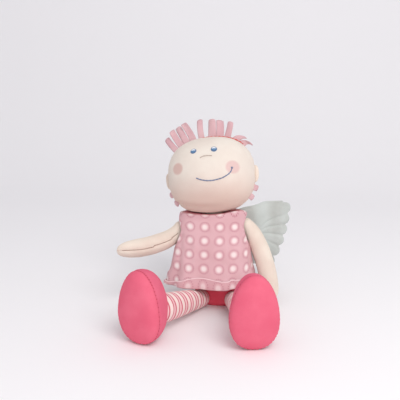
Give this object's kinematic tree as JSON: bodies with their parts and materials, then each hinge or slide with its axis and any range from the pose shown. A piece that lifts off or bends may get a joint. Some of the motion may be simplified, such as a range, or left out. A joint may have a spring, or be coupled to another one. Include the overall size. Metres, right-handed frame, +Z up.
{
  "type": "rag doll",
  "caption": "Seated stuffed cloth rag doll with felt hair, a sleeveless dotted dress, padded shoes and scalloped wings that fold back.",
  "frame": {"origin": "middle of the flat seat, at floor level", "axes": "+Z up, the doll faces -Y, its left side is +X"},
  "size_m": [0.1977, 0.2558, 0.2084],
  "materials": {
    "skin": "brushed cotton jersey",
    "face": "brushed cotton jersey",
    "pants_cloth": "woven cotton",
    "hair_felt": "felt",
    "blue_thread": "embroidery thread",
    "brown_thread": "embroidery thread",
    "grey_thread": "embroidery thread",
    "dress_cloth": "woven cotton, printed with dots",
    "cuff_cloth": "woven cotton, paler side out",
    "striped_knit": "knitted cotton, printed with stripes",
    "shoe_cloth": "brushed cotton",
    "sole_cloth": "brushed cotton",
    "wing_cloth": "satin weave over thin wadding"
  },
  "bodies": {
    "body": {"torso": "skin", "pants": "pants_cloth", "dress": "dress_cloth", "dress_cuff": "cuff_cloth", "neck_binding": "cuff_cloth", "wing_patch": "wing_cloth"},
    "neck": {"neck": "skin"},
    "head": {"head_front": "face", "head_back": "skin", "hair_fringe": "hair_felt", "tuft_right": "hair_felt", "tuft_left": "hair_felt", "ear_right": "skin", "ear_left": "skin", "eye_right": "blue_thread", "eye_left": "blue_thread", "nose": "brown_thread", "mouth": "grey_thread"},
    "arm_right": {"arm_right": "skin"},
    "arm_left": {"arm_left": "skin"},
    "leg_right": {"leg_right": "striped_knit"},
    "leg_left": {"leg_left": "striped_knit"},
    "foot_right": {"shoe_right": "shoe_cloth", "sole_right": "sole_cloth"},
    "foot_left": {"shoe_left": "shoe_cloth", "sole_left": "sole_cloth"},
    "wing_right": {"wing_right": "wing_cloth"},
    "wing_left": {"wing_left": "wing_cloth"}
  },
  "joints": [
    {"name": "neck_turn", "type": "hinge", "parent": "body", "child": "neck", "pos_m": [-0.011, 0.012, 0.10898], "axis": [0, 0, 1], "range_deg": [-30, 30]},
    {"name": "head_nod", "type": "hinge", "parent": "neck", "child": "head", "pos_m": [-0.011, 0.012, 0.10898], "axis": [1, 0, 0], "range_deg": [-5, 4]},
    {"name": "shoulder_right", "type": "hinge", "parent": "body", "child": "arm_right", "pos_m": [-0.049, 0.00993, 0.084], "axis": [0, 1, 0], "range_deg": [-5, 70]},
    {"name": "shoulder_left", "type": "hinge", "parent": "body", "child": "arm_left", "pos_m": [0.027, 0.01052, 0.089], "axis": [0, -1, 0], "range_deg": [0, 74]},
    {"name": "hip_right", "type": "hinge", "parent": "body", "child": "leg_right", "pos_m": [-0.023, -0.0255, 0.012], "axis": [-1, 0, 0], "range_deg": [-80, 1]},
    {"name": "hip_left", "type": "hinge", "parent": "body", "child": "leg_left", "pos_m": [0.014, -0.0275, 0.012], "axis": [-1, 0, 0], "range_deg": [-70, 3]},
    {"name": "ankle_right", "type": "hinge", "parent": "leg_right", "child": "foot_right", "pos_m": [-0.06, -0.08958, 0.02425], "axis": [0.8829, -0.4695, 0], "range_deg": [-18, 18]},
    {"name": "ankle_left", "type": "hinge", "parent": "leg_left", "child": "foot_left", "pos_m": [0.03105, -0.09113, 0.02425], "axis": [0.9877, 0.1564, 0], "range_deg": [-18, 18]},
    {"name": "wing_fold_right", "type": "hinge", "parent": "body", "child": "wing_right", "pos_m": [-0.019, 0.03655, 0.094], "axis": [0, 0, -1], "range_deg": [-60, 8]},
    {"name": "wing_fold_left", "type": "hinge", "parent": "body", "child": "wing_left", "pos_m": [-0.003, 0.03655, 0.094], "axis": [0, 0, 1], "range_deg": [-12, 57]}
  ]
}
